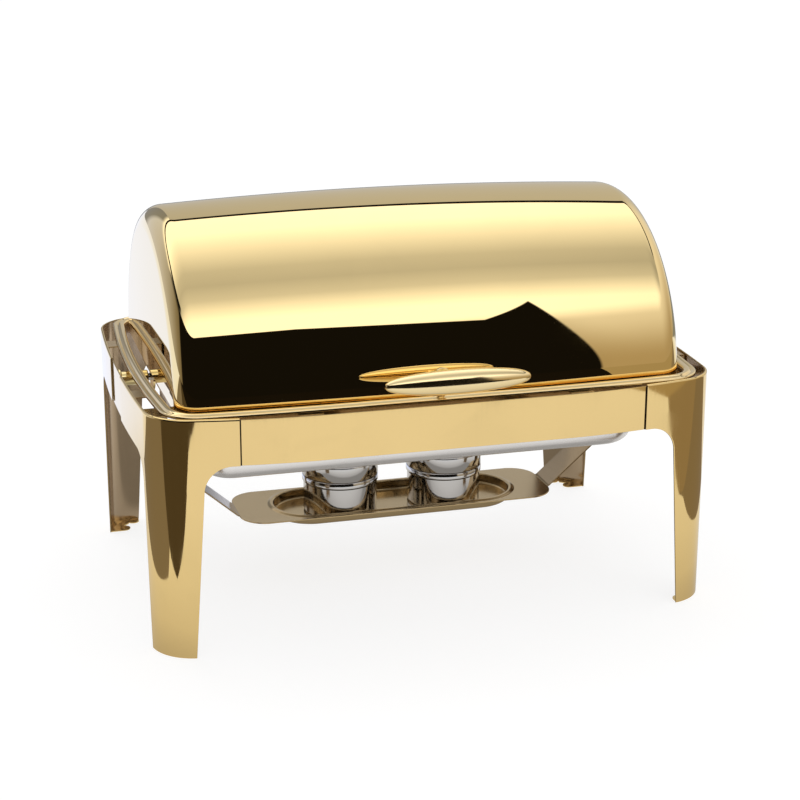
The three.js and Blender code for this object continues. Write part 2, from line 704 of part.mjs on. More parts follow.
for (const [side, sx] of [['left', -1], ['right', 1]]) {
  add(`leg_front_${side}`, leg(sx, -1), satinGold);
  add(`leg_rear_${side}`, leg(sx, 1), satinGold);
  add(`panel_${side}`, sidePanel(sx), satinGold);
  add(`clip_front_${side}`, frontClip(sx, -1), satinGold);
  add(`clip_rear_${side}`, frontClip(sx, 1), satinGold);
  add(`clip_${side}_front`, sideClip(sx, -1), satinGold);
  add(`clip_${side}_rear`, sideClip(sx, 1), satinGold);
  add(`arm_front_${side}`, frontArm(sx), satinGold);
  add(`arm_${side}`, sideArm(sx), satinGold);
  add(`pivot_boss_${side}`, pivotBoss(sx), brass);
  add(`pivot_pin_${side}`, pivotPin(sx), mirrorSteel);
  add(`lid_ear_${side}`, lidEar(sx), mirrorGold);
  add(`tray_strap_${side}`, trayStrap(sx), satinGold);
  add(`burner_cup_${side}`, burnerCup(sx), mirrorSteel);
  add(`burner_cap_${side}`, burnerCap(sx), mirrorSteel);
  add(`burner_damper_${side}`, burnerDamper(sx), satinSteel);
  add(`damper_rivet_${side}`, damperRivet(sx), satinSteel);
}
add('panel_front', frontPanel(-1), satinGold);
add('panel_rear', frontPanel(1), satinGold);
add('rim_ring', rimRing(), mirrorGold);
add('carrier', carrier(), satinGold);
add('fuel_tray', fuelTray(), satinGold);
add('water_pan', waterPan(), satinSteel);
add('food_pan', foodPan(), satinSteel);
add('lid_shell', lidShell(), mirrorGold);
add('handle_grip', handleGrip(), mirrorGold);
add('handle_post', handlePost(), mirrorGold);
add('handle_washer', handleWasher(), mirrorSteel);
add('handle_screw', handleScrew(), mirrorSteel);

export default chafer;
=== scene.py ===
import json
import math

import bmesh
import bpy
from mathutils import Matrix, Vector


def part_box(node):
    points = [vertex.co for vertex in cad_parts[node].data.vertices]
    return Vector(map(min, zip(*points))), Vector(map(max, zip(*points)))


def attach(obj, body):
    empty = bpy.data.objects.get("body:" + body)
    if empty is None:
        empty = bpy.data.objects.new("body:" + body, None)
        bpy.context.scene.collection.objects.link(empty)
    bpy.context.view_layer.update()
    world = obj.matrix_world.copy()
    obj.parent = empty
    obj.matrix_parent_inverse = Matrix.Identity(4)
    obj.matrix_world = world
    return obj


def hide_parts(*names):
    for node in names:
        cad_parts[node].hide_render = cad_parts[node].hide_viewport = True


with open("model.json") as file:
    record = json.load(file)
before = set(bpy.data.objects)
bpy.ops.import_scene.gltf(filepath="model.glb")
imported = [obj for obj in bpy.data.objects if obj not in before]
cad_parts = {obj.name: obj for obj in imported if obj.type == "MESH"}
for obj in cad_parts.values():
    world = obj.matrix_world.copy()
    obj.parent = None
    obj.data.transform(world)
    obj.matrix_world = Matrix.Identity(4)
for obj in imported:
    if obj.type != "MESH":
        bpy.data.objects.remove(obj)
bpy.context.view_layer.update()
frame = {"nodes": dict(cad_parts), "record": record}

sides = (("left", -1), ("right", 1))
ends = (("front", -1), ("rear", 1))
sheetThickness = 0.0015

# everything is shaped about the middle of the stand and moved to its place at the end
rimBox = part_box("rim_ring")
toStand = Vector((0, (rimBox[0].y + rimBox[1].y) / 2, 0))


def boxOf(node):
    low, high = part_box(node)
    return low - toStand, high - toStand


def middleOf(node):
    low, high = boxOf(node)
    return (low + high) / 2


pivotZ = middleOf("pivot_pin_left").z


# camera, floor and studio
camera = {
    "lens": 83.22, "place": (-0.56344, -2.00845, 0.84587), "turn": -15.93, "tilt": -17.19, "roll": 0.116,
}


def placeCamera():
    data = bpy.data.cameras.new("studioCamera")
    data.lens = camera["lens"]
    data.sensor_width = 36
    data.clip_start, data.clip_end = 0.05, 60
    made = bpy.data.objects.new("studioCamera", data)
    bpy.context.scene.collection.objects.link(made)
    upright = math.radians(90 + camera["tilt"])
    made.matrix_world = (
        Matrix.Translation(Vector(camera["place"]) + toStand)
        @ Matrix.Rotation(math.radians(camera["turn"]), 4, "Z")
        @ Matrix.Rotation(upright, 4, "X")
        @ Matrix.Rotation(math.radians(camera["roll"]), 4, "Z")
    )
    bpy.context.scene.camera = made


def mathStep(tree, operation, first, second=None, third=None):
    node = tree.nodes.new("ShaderNodeMath")
    node.operation = operation
    for socket, value in zip(node.inputs, (first, second, third)):
        if isinstance(value, (int, float)):
            socket.default_value = value
        elif value is not None:
            tree.links.new(value, socket)
    return node.outputs[0]


def between(tree, value, low, high, start=0.0, end=1.0):
    node = tree.nodes.new("ShaderNodeMapRange")
    node.interpolation_type = "SMOOTHSTEP"
    tree.links.new(value, node.inputs["Value"])
    for name, number in (("From Min", low), ("From Max", high), ("To Min", start), ("To Max", end)):
        socket = node.inputs[name]
        if isinstance(number, (int, float)):
            socket.default_value = number
        else:
            tree.links.new(number, socket)
    return node.outputs["Result"]


def ramp(tree, value, stops, interpolation="LINEAR"):
    node = tree.nodes.new("ShaderNodeValToRGB")
    node.color_ramp.interpolation = interpolation
    elements = node.color_ramp.elements
    elements.remove(elements[1])
    for index, (position, colour) in enumerate(stops):
        element = elements[0] if index == 0 else elements.new(position)
        element.position = position
        element.color = (*colour, 1) if isinstance(colour, tuple) else (colour, colour, colour, 1)
    tree.links.new(value, node.inputs[0])
    return node.outputs[0]


def mixed(tree, share, first, second, kind="MIX"):
    node = tree.nodes.new("ShaderNodeMix")
    node.data_type = "RGBA"
    node.blend_type = kind
    for socket, value in ((node.inputs[0], share), (node.inputs[6], first), (node.inputs[7], second)):
        if isinstance(value, (int, float)):
            socket.default_value = value
        elif isinstance(value, tuple):
            socket.default_value = (*value, 1)
        else:
            tree.links.new(value, socket)
    return node.outputs[2]


# the room round the table: a lit canopy overhead, a dark front, a warm wall on the right
room = {
    "darkFrom": -76, "darkTo": 25.9, "darkBow": 5.9e-5, "darkTop": 39.0, "rimFrom": 39.8, "rimTo": 42.4,
    "dark": (0.007, 0.006, 0.0045),
    "fallFrom": 11.0, "fall": 0.36, "rise": 1.25, "riseBase": 5.0,
    # by angle over the top, front to back
    "canopy": [(0.0, 1.5), (0.27, 1.5), (0.35, 0.75), (0.41, 0.58), (0.47, 0.66), (0.56, 1.05), (0.66, 1.5),
               (1.0, 1.5)],
    # by direction round the room, from the back through the left, front and right
    "walls": [(0.0, (0.25, 0.26, 0.28)), (0.035, (0.27, 0.28, 0.30)), (0.05, (0.66, 0.70, 0.84)),
              (0.11, (0.60, 0.62, 0.74)), (0.17, (0.46, 0.46, 0.50)), (0.25, (0.26, 0.23, 0.18)),
              (0.28, (0.20, 0.17, 0.12)), (0.288, (0.02, 0.016, 0.012)), (0.5, (0.02, 0.016, 0.012)),
              (0.575, (0.46, 0.37, 0.24)), (0.74, (0.44, 0.36, 0.25)), (0.80, (0.62, 0.56, 0.46)),
              (0.86, 0.82), (0.90, 0.56), (1.0, 0.52)],
    "coolCanopy": (0.80, 0.82, 0.98), "highWall": (0.90, 0.87, 0.84),
}


def buildRoom():
    world = bpy.data.worlds.new("studioRoom")
    bpy.context.scene.world = world
    world.use_nodes = True
    tree = world.node_tree
    tree.nodes.clear()
    direction = tree.nodes.new("ShaderNodeTexCoord").outputs["Generated"]
    parts = tree.nodes.new("ShaderNodeSeparateXYZ")
    tree.links.new(direction, parts.inputs[0])
    x, y, z = parts.outputs
    forward = mathStep(tree, "MULTIPLY", y, -1.0)
    degree = 180 / math.pi
    azimuth = mathStep(tree, "MULTIPLY", mathStep(tree, "ARCTAN2", x, forward), degree)
    height = mathStep(tree, "MULTIPLY", mathStep(tree, "ARCSINE", z), degree)
    over = mathStep(tree, "MULTIPLY", mathStep(tree, "ARCTAN2", z, forward), degree)

    canopy = ramp(tree, mathStep(tree, "DIVIDE", over, 180.0), room["canopy"])
    fadeLeft = between(tree, x, -0.76, -0.71, 0.01, 1.0)
    fadeRight = between(tree, x, 0.30, 0.75, 1.0, 0.74)
    canopy = mixed(tree, 1.0, canopy, mathStep(tree, "MULTIPLY", fadeLeft, fadeRight), "MULTIPLY")
    canopy = mixed(tree, between(tree, x, -0.83, -0.87), canopy, room["coolCanopy"])

    # walls below the canopy, by direction round the room
    around = mathStep(tree, "DIVIDE", mathStep(tree, "ADD", azimuth, 180.0), 360.0)
    wall = ramp(tree, around, room["walls"])
    lifted = between(tree, height, 2.0, 36.0)
    rightSide = mathStep(tree, "MULTIPLY", between(tree, azimuth, 20.0, 30.0),
                         between(tree, azimuth, 150.0, 120.0))
    wall = mixed(tree, mathStep(tree, "MULTIPLY", lifted, rightSide), wall, room["highWall"])
    behind = mathStep(tree, "ABSOLUTE", azimuth)
    wallTop = between(tree, behind, 60.0, 95.0, 38.0, 41.0)
    # the wall fades softly into the canopy in front and sharply behind on the right
    softness = between(tree, azimuth, 60.0, 95.0, 9.0, 0.6)
    above = between(tree, height, mathStep(tree, "SUBTRACT", wallTop, softness), wallTop)
    surround = mixed(tree, above, wall, canopy)
    rimTop = between(tree, behind, 140.0, 110.0, room["rimTo"], room["rimTo"] + 1.6)
    rim = mathStep(tree, "MULTIPLY", between(tree, height, room["rimFrom"] - 0.3, room["rimFrom"]),
                   between(tree, mathStep(tree, "SUBTRACT", height, rimTop), 0.0, -0.3))
    along = mathStep(tree, "MAXIMUM", between(tree, behind, 84.0, 96.0), between(tree, azimuth, -64.0, -72.0))
    # a thin dark line where the wall meets the canopy
    surround = mixed(tree, mathStep(tree, "MULTIPLY", rim, along), surround, room["dark"])

    # the unlit front of the room, its edge a little uneven
    pastMiddle = mathStep(tree, "MAXIMUM", mathStep(tree, "SUBTRACT", azimuth, room["fallFrom"]), 0.0)
    falling = mathStep(tree, "SUBTRACT", room["darkTop"],
                       mathStep(tree, "MULTIPLY", pastMiddle, room["fall"]))
    rising = mathStep(tree, "MULTIPLY_ADD", azimuth, room["rise"], room["riseBase"])
    edge = mathStep(tree, "MAXIMUM", falling, rising)
    below = between(tree, mathStep(tree, "SUBTRACT", height, edge), 0.2, -0.2)
    bow = mathStep(tree, "POWER", mathStep(tree, "MAXIMUM", height, 0.0), 3.0)
    rightEdge = mathStep(tree, "MULTIPLY_ADD", bow, room["darkBow"], room["darkTo"])
    inside = between(tree, mathStep(tree, "SUBTRACT", azimuth, rightEdge), 0.12, -0.12)
    afterLeft = between(tree, azimuth, room["darkFrom"] - 4.0, room["darkFrom"] + 4.0)
    unlit = mathStep(tree, "MULTIPLY", mathStep(tree, "MULTIPLY", below, inside), afterLeft)
    surround = mixed(tree, unlit, surround, room["dark"])

    lit = tree.nodes.new("ShaderNodeBackground")
    tree.links.new(surround, lit.inputs[0])
    plain = tree.nodes.new("ShaderNodeBackground")
    plain.inputs[0].default_value = (1, 1, 1, 1)
    seen = tree.nodes.new("ShaderNodeLightPath")
    mix = tree.nodes.new("ShaderNodeMixShader")
    tree.links.new(seen.outputs["Is Camera Ray"], mix.inputs[0])
    tree.links.new(lit.outputs[0], mix.inputs[1])
    tree.links.new(plain.outputs[0], mix.inputs[2])
    out = tree.nodes.new("ShaderNodeOutputWorld")
    tree.links.new(mix.outputs[0], out.inputs[0])


def glowMaterial(name, colour):
    made = bpy.data.materials.new(name)
    made.use_nodes = True
    tree = made.node_tree
    tree.nodes.clear()
    glow = tree.nodes.new("ShaderNodeEmission")
    glow.inputs[0].default_value = (*colour, 1)
    out = tree.nodes.new("ShaderNodeOutputMaterial")
    tree.links.new(glow.outputs[0], out.inputs[0])
    return made


# what the metal sees of the table: dim under the stand, pale in front of it, dark beyond its edges
cards = {
    "lift": 0.0005,
    "front": ((-14, -14), (6.85, -14), (0.69, -1.12), (-14, -1.12), (0.009, 0.007, 0.005)),
    "frontRight": ((0.69, -1.12), (6.85, -14), (14, -14), (14, -0.80), (0.83, -0.80), (0.40, 0.32, 0.19)),
    "leftFront": ((-14, -1.12), (-0.475, -1.12), (-0.465, -0.345), (-0.565, -0.318), (-14, -0.318),
                  (0.075, 0.058, 0.035)),
    "left": ((-14, -0.318), (-0.60, -0.318), (-0.515, -0.255), (-0.515, 0.42), (-14, 0.42),
             (0.22, 0.19, 0.155)),
    "right": ((0.55, -0.46), (14, -0.46), (14, 0.12), (0.55, 0.12), (0.24, 0.20, 0.15)),
    "rightFront": ((0.55, -0.46), (0.83, -0.80), (14, -0.80), (14, -0.46), (0.30, 0.24, 0.16)),
}
tableGlow = {
    "halfX": 0.29, "halfY": 0.17, "reach": 0.8,
    "tones": [(0.0, (0.32, 0.305, 0.28)), (0.03, (0.53, 0.51, 0.48)), (0.14, (0.70, 0.68, 0.64)),
              (0.32, (0.80, 0.79, 0.76)), (0.62, 0.87), (1.0, 0.88)],
    "coolFrom": (0.30, 0.75), "cool": (0.94, 1.02, 1.25),
    "greyFrom": (0.75, 0.95), "greyRight": (-0.30, -0.22), "grey": (0.26, 0.28, 0.31),
}


def card(name, corners, height, material):
    bm = bmesh.new()
    around = [bm.verts.new(Vector((x, y, height)) + toStand) for x, y in corners]
    bmesh.ops.contextual_create(bm, geom=around)
    bmesh.ops.recalc_face_normals(bm, faces=bm.faces)
    mesh = bpy.data.meshes.new(name)
    bm.to_mesh(mesh)
    bm.free()
    mesh.materials.append(material)
    made = bpy.data.objects.new(name, mesh)
    bpy.context.scene.collection.objects.link(made)
    return made


def onlyReflected(made):
    made.visible_camera = False
    made.visible_diffuse = False
    made.visible_shadow = False


def tableGlowMaterial():
    made = glowMaterial("card_table", (1, 1, 1))
    tree = made.node_tree
    place = tree.nodes.new("ShaderNodeSeparateXYZ")
    tree.links.new(tree.nodes.new("ShaderNodeTexCoord").outputs["Object"], place.inputs[0])
    outX, outY = (
        mathStep(tree, "MAXIMUM", mathStep(tree, "SUBTRACT", mathStep(tree, "ABSOLUTE", value), half), 0.0)
        for value, half in (
            (place.outputs[0], tableGlow["halfX"]),
            (mathStep(tree, "SUBTRACT", place.outputs[1], toStand.y), tableGlow["halfY"]),
        )
    )
    away = mathStep(tree, "SQRT", mathStep(tree, "ADD", mathStep(tree, "POWER", outX, 2.0),
                                           mathStep(tree, "POWER", outY, 2.0)))
    tone = ramp(tree, mathStep(tree, "DIVIDE", away, tableGlow["reach"]), tableGlow["tones"])
    behind = between(tree, place.outputs[1], *tableGlow["coolFrom"])
    tone = mixed(tree, behind, tone, tableGlow["cool"])
    greyer = mathStep(tree, "MULTIPLY", between(tree, place.outputs[1], *tableGlow["greyFrom"]),
                      between(tree, place.outputs[0], *tableGlow["greyRight"]))
    tone = mixed(tree, greyer, tone, tableGlow["grey"])
    glow = next(node for node in tree.nodes if node.type == "EMISSION")
    tree.links.new(tone, glow.inputs[0])
    return made


def buildTable():
    paper = bpy.data.materials.new("palePaper")
    paper.use_nodes = True
    shader = paper.node_tree.nodes["Principled BSDF"]
    shader.inputs["Base Color"].default_value = (0.30, 0.30, 0.30, 1)
    shader.inputs["Roughness"].default_value = 0.9
    shader.inputs["Specular IOR Level"].default_value = 0.1
    shader.inputs["Emission Color"].default_value = (1, 1, 1, 1)
    shader.inputs["Emission Strength"].default_value = 0.80
    reach = 14.0
    whole = ((-reach, -reach), (reach, -reach), (reach, reach), (-reach, reach))
    card("paperFloor", whole, 0.0, paper)
    onlyReflected(card("card_table", whole, cards["lift"] / 2, tableGlowMaterial()))
    for name, values in cards.items():
        if name == "lift":
            continue
        *corners, colour = values
        onlyReflected(card(f"card_{name}", corners, cards["lift"], glowMaterial(f"card_{name}", colour)))


placeCamera()
buildRoom()
buildTable()
bpy.context.scene.view_settings.view_transform = "Standard"
print("camera, room and table are set")


# finishes
def newFinish(name, colour, roughness, smudge=0.04, grain=(1, 1, 1), grainBump=0.0, wave=0.0, tone=0.04):
    made = bpy.data.materials.new(name)
    made.use_nodes = True
    tree = made.node_tree
    shader = tree.nodes["Principled BSDF"]
    shader.inputs["Metallic"].default_value = 1.0
    place = tree.nodes.new("ShaderNodeTexCoord").outputs["Object"]

    def noise(scale, detail, stretch=(1, 1, 1), distortion=0.0):
        mapping = tree.nodes.new("ShaderNodeMapping")
        mapping.inputs["Scale"].default_value = stretch
        tree.links.new(place, mapping.inputs[0])
        node = tree.nodes.new("ShaderNodeTexNoise")
        node.inputs["Scale"].default_value = scale
        node.inputs["Detail"].default_value = detail
        node.inputs["Distortion"].default_value = distortion
        tree.links.new(mapping.outputs[0], node.inputs["Vector"])
        return node.outputs["Fac"]

    hand = noise(14, 6, distortion=0.6)       # wiping marks and finger haze
    streak = noise(60, 3, grain)              # polishing lines
    patch = noise(3.2, 2)
    haze = between(tree, hand, 0.52, 0.72, 0.0, smudge)
    lines = between(tree, streak, 0.3, 0.7, -0.35 * smudge, 0.35 * smudge)
    rough = mathStep(tree, "ADD", mathStep(tree, "ADD", haze, lines), roughness)
    tree.links.new(mathStep(tree, "MAXIMUM", rough, 0.003), shader.inputs["Roughness"])
    darker = tuple(c * (1 - tone) for c in colour)
    tinted = mixed(tree, between(tree, patch, 0.35, 0.65), colour, darker)
    wiped = tuple(c * (1 - 1.5 * tone) for c in colour)
    tinted = mixed(tree, between(tree, hand, 0.45, 0.75, 0.0, 0.5), tinted, wiped)
    tree.links.new(tinted, shader.inputs["Base Color"])
    bump = tree.nodes.new("ShaderNodeBump")
    bump.inputs["Strength"].default_value = 1.0
    bump.inputs["Distance"].default_value = 0.001
    relief = mathStep(tree, "MULTIPLY", streak, grainBump)
    swell = mathStep(tree, "MULTIPLY", noise(5.5, 1), wave)
    tree.links.new(mathStep(tree, "ADD", relief, swell), bump.inputs["Height"])
    tree.links.new(bump.outputs[0], shader.inputs["Normal"])
    return made


finishes = {
    "lidGold": newFinish("lidGold", (0.95, 0.74, 0.37), 0.006, 0.014, (0.15, 6, 6), 0.0006, 0.03, 0.03),
    "standGold": newFinish("standGold", (0.91, 0.67, 0.30), 0.045, 0.04, (6, 6, 0.12), 0.002, 0.02, 0.05),
    "rimGold": newFinish("rimGold", (0.95, 0.74, 0.40), 0.09, 0.05, (1, 1, 1), 0.003, 0.0, 0.04),
    "trayGold": newFinish("trayGold", (0.62, 0.47, 0.26), 0.17, 0.06, (0.1, 5, 5), 0.003, 0.05, 0.06),
    "innerGold": newFinish("innerGold", (0.51, 0.39, 0.26), 0.16, 0.08, (1, 6, 1), 0.006, 0.02, 0.08),
    "strapGold": newFinish("strapGold", (0.38, 0.27, 0.14), 0.14, 0.06, (6, 0.3, 6), 0.003, 0.03, 0.08),
    "bracketGold": newFinish("bracketGold", (0.56, 0.40, 0.20), 0.2, 0.08, (1, 6, 1), 0.01, 0.0, 0.08),
    "handleGold": newFinish("handleGold", (0.95, 0.76, 0.42), 0.11, 0.04, (0.1, 8, 8), 0.003, 0.0, 0.03),
    "bossBrass": newFinish("bossBrass", (0.88, 0.72, 0.36), 0.16, 0.08, (8, 1, 1), 0.01, 0.0, 0.06),
    "panSteel": newFinish("panSteel", (0.92, 0.91, 0.92), 0.26, 0.07, (0.12, 6, 6), 0.012, 0.02, 0.05),
    "cupSteel": newFinish("cupSteel", (0.66, 0.65, 0.65), 0.09, 0.06, (1, 1, 8), 0.006, 0.02, 0.05),
    "pinSteel": newFinish("pinSteel", (0.66, 0.66, 0.67), 0.22, 0.08, (6, 1, 1), 0.01, 0.0, 0.06),
    "cutEdge": newFinish("cutEdge", (0.42, 0.30, 0.13), 0.35, 0.1, (4, 4, 4), 0.03, 0.0, 0.15),
    # painted shadow: a near-black finish laid on seam gaps and grooves where shade falls, not a colour of the
    # metal
    "paintedShadow": newFinish("paintedShadow", (0.05, 0.035, 0.02), 0.6, 0.1, (4, 4, 4), 0.03, 0.0, 0.15),
}
print("finishes are mixed")


# shared shop work
shop = {"bevelAngle": 40, "flatWeight": 90}      # edges sharper than this are eased; how far flat faces win


def faceOutwards(bm, centre=None):
    bmesh.ops.remove_doubles(bm, verts=bm.verts, dist=1e-6)
    bmesh.ops.recalc_face_normals(bm, faces=bm.faces)
    if centre is None:
        return
    lean = sum(face.normal.dot(face.calc_center_median() - centre) * face.calc_area() for face in bm.faces)
    if lean < 0:
        bmesh.ops.reverse_faces(bm, faces=bm.faces)


def roundSharpEdges(bm, width, angle=35, segments=2):
    sharp = [e for e in bm.edges if len(e.link_faces) == 2 and e.calc_face_angle(0) > math.radians(angle)]
    bmesh.ops.bevel(
        bm, geom=sharp, offset=width, offset_type="OFFSET", affect="EDGES", segments=segments, profile=0.5,
        material=-1, clamp_overlap=True,
    )


def makePiece(name, bm, body, nodes, finish, wall=0.0, edge=0.0, extras=(), sharp=35):
    bmesh.ops.translate(bm, verts=bm.verts, vec=toStand)
    turn = bm.verts.layers.float.get("turn")
    if turn:
        bm.verts.layers.float.remove(turn)
    mesh = bpy.data.meshes.new(name)
    bm.to_mesh(mesh)
    bm.free()
    mesh.materials.append(finishes[finish])
    for extra in extras:
        mesh.materials.append(finishes[extra])
    mesh.polygons.foreach_set("use_smooth", [True] * len(mesh.polygons))
    if not wall:
        mesh.set_sharp_from_angle(angle=math.radians(sharp))
    piece = bpy.data.objects.new(name, mesh)
    bpy.context.scene.collection.objects.link(piece)
    if wall:
        solidify = piece.modifiers.new("wall", "SOLIDIFY")
        solidify.thickness = wall
        solidify.offset = -1
        solidify.use_even_offset = False
        solidify.material_offset_rim = 1 if extras else 0
        solidify.material_offset = list(extras).index("innerGold") + 1 if "innerGold" in extras else 0
    if edge:
        bevel = piece.modifiers.new("edge", "BEVEL")
        bevel.width = edge
        bevel.segments = 2
        bevel.limit_method = "ANGLE"
        bevel.angle_limit = math.radians(shop["bevelAngle"])
    if wall:
        even = piece.modifiers.new("shading", "WEIGHTED_NORMAL")
        even.weight = shop["flatWeight"]
    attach(piece, body)
    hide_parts(*nodes)
    return piece


def sheetOf(columns, rows, place, bm=None):
    bm = bm or bmesh.new()
    made = bmesh.ops.create_grid(bm, x_segments=columns, y_segments=rows, size=0.5)
    for vertex in made["verts"]:
        vertex.co = place(vertex.co.x + 0.5, vertex.co.y + 0.5)
    return bm


def loopsThrough(levels, place, count, close=False, bm=None):
    # a ring of points carried from level to level, closed on itself or left open
    bm = bm or bmesh.new()
    turn = bm.verts.layers.float.get("turn") or bm.verts.layers.float.new("turn")
    ring = bmesh.ops.create_circle(bm, cap_ends=False, segments=count, radius=1.0)["verts"]
    for vertex in ring:
        vertex[turn] = math.atan2(vertex.co.y, vertex.co.x) % (2 * math.pi)
        vertex.co = place(vertex[turn], levels[0])
    edges = list({edge for vertex in ring for edge in vertex.link_edges})
    firstEdges = edges
    for level in levels[1:]:
        made = bmesh.ops.extrude_edge_only(bm, edges=edges)["geom"]
        fresh = {part for part in made if isinstance(part, bmesh.types.BMVert)}
        for vertex in fresh:
            vertex.co = place(vertex[turn], level)
        edges = [p for p in made if isinstance(p, bmesh.types.BMEdge) and all(v in fresh for v in p.verts)]
    if close:
        bmesh.ops.bridge_loops(bm, edges=firstEdges + edges)
    return bm, edges


def spun(profile, origin, axis, side, steps=64):
    # (along the axis, out from it) pairs turned once round
    bm = bmesh.new()
    chain = [bm.verts.new(origin + axis * along + side * out) for along, out in profile]
    edges = [bm.edges.new(pair) for pair in zip(chain, chain[1:])]
    bmesh.ops.spin(
        bm, geom=chain + edges, cent=origin, axis=axis, angle=2 * math.pi, steps=steps, use_merge=True,
        use_duplicate=False,
    )
    faceOutwards(bm)
    return bm


def roundedPath(points, radius, steps=5):
    # straight runs with their corners bent round
    made = [points[0]]
    for before, corner, after in zip(points, points[1:], points[2:]):
        inward, outward = (corner - before).normalized(), (after - corner).normalized()
        bend = inward.angle(outward)
        back = radius * math.tan(bend / 2)
        for i in range(steps + 1):
            share = i / steps
            a, b = corner - inward * back * (1 - share), corner + outward * back * share
            made.append(a.lerp(b, share))
    made.append(points[-1])
    return made


# outline of the stand and of the rim: straight in the middle, slow curves, round corners
def bowedTrack(halfWidth, halfDepth, bowRun, frontSweep, sideSweep, corner):
    flat = halfWidth - bowRun
    sf, cf = math.sin(frontSweep), math.cos(frontSweep)
    ss, cs = math.sin(sideSweep), math.cos(sideSweep)
    across = halfWidth - flat - corner * (cs - sf)
    along = halfDepth - corner * (cf - ss)
    det = sf * ss - (1 - cs) * (1 - cf)
    frontBow = (across * ss - (1 - cs) * along) / det
    sideBow = (sf * along - (1 - cf) * across) / det
    quarter = math.pi / 2
    track, x, y = [(flat, None, 0.0, 0.0, -halfDepth)], flat, -halfDepth
    for radius, start, end in (
        (frontBow, 0.0, frontSweep), (corner, frontSweep, quarter - sideSweep),
        (sideBow, quarter - sideSweep, quarter),
    ):
        track.append((radius * (end - start), radius, start, x, y))
        x += radius * (math.sin(end) - math.sin(start))
        y += radius * (math.cos(start) - math.cos(end))
    return track


def trackLength(track):
    return sum(run[0] for run in track)


def onTrack(track, distance):
    # the point on the quarter outline that far from the middle of the front, and the way out there
    for index, (length, radius, start, x, y) in enumerate(track):
        if distance <= length or index == len(track) - 1:
            break
        distance -= length
    if radius is None:
        return Vector((x + distance, y, 0)), Vector((0, -1, 0))
    heading = start + distance / radius
    point = Vector((x + radius * (math.sin(heading) - math.sin(start)),
                    y + radius * (math.cos(start) - math.cos(heading)), 0))
    return point, Vector((math.sin(heading), -math.cos(heading), 0))


def distanceTo(track, axis, value):
    low, high = 0.0, trackLength(track)
    for _ in range(40):
        middle = (low + high) / 2
        if onTrack(track, middle)[0][axis] < value:
            low = middle
        else:
            high = middle
    return low


def aroundTrack(track, turn, inset):
    # a full turn of the mirrored outline, starting at the middle of the right side
    quarterTurn = turn / (math.pi / 2)
    index, share = int(quarterTurn) % 4, quarterTurn - int(quarterTurn)
    share = share if index % 2 else 1 - share
    point, out = onTrack(track, share * trackLength(track))
    point = point - out * inset
    mirrorX = 1 if index in (0, 3) else -1
    mirrorY = -1 if index in (0, 1) else 1
    return Vector((point.x * mirrorX, point.y * mirrorY, 0))


frontBox, rearBox = boxOf("panel_front"), boxOf("panel_rear")
legBox = boxOf("leg_front_right")
panelGap = 0.0003
stand = {
    "bowRun": 0.1942, "frontSweep": math.radians(12.5), "sideSweep": math.radians(4), "corner": 0.050,
    "lipRadius": 0.002, "lip": 0.0006, "archRadius": 0.030,
    "frontTop": 0.0607, "frontFoot": 0.0472, "sideTop": 0.067, "sideFoot": 0.0558, "footCut": 0.010,
    "footStrip": 0.011, "footLobe": 0.015, "footReach": 0.033, "edge": 0.00035, "seamStrip": 0.0016,
}
standHalfWidth = boxOf("panel_right")[1].x + sheetThickness + panelGap
standHalfDepth = rearBox[1].y + sheetThickness + panelGap
standTrack = bowedTrack(
    standHalfWidth, standHalfDepth, stand["bowRun"], stand["frontSweep"], stand["sideSweep"], stand["corner"],
)
bandTop = legBox[1].z
bandBottom = frontBox[0].z


def legRows():
    # each row: height, inset, x of its front end, y of its side end; from the foot up to the lip
    arch = stand["archRadius"]
    frontTop, sideTop = standHalfWidth - stand["frontTop"], standHalfDepth - stand["sideTop"]
    frontFoot, sideFoot = standHalfWidth - stand["frontFoot"], standHalfDepth - stand["sideFoot"]
    rows = []
    straight, archSteps, bandSteps, lipSteps = 14, 12, 6, 4
    archStart = bandBottom - arch
    for i in range(straight):
        z = archStart * i / straight
        share = (z + stand["footCut"]) / (archStart + stand["footCut"])
        rows.append((z, 0.0, frontFoot + (frontTop - frontFoot) * share,
                     sideFoot + (sideTop - sideFoot) * share))
    for i in range(archSteps + 1):
        angle = math.pi / 2 * i / archSteps
        out = arch * (1 - math.cos(angle))
        rows.append((archStart + arch * math.sin(angle), 0.0, frontTop - out, sideTop - out))
    archRow = len(rows) - 1
    frontIn, sideIn = frontTop - arch, sideTop - arch
    shoulder = bandTop - stand["lipRadius"]
    for i in range(1, bandSteps + 1):
        rows.append((bandBottom + (shoulder - 0.0004 - bandBottom) * i / bandSteps, 0.0, frontIn, sideIn))
    rows.append((shoulder, 0.0, frontIn, sideIn))
    for i in range(1, lipSteps + 1):
        angle = math.pi / 2 * i / lipSteps
        rows.append((shoulder + stand["lipRadius"] * math.sin(angle),
                     stand["lipRadius"] * (1 - math.cos(angle)), frontIn, sideIn))
    rows.append((bandTop, stand["lipRadius"] + stand["lip"], frontIn, sideIn))
    return rows, archRow


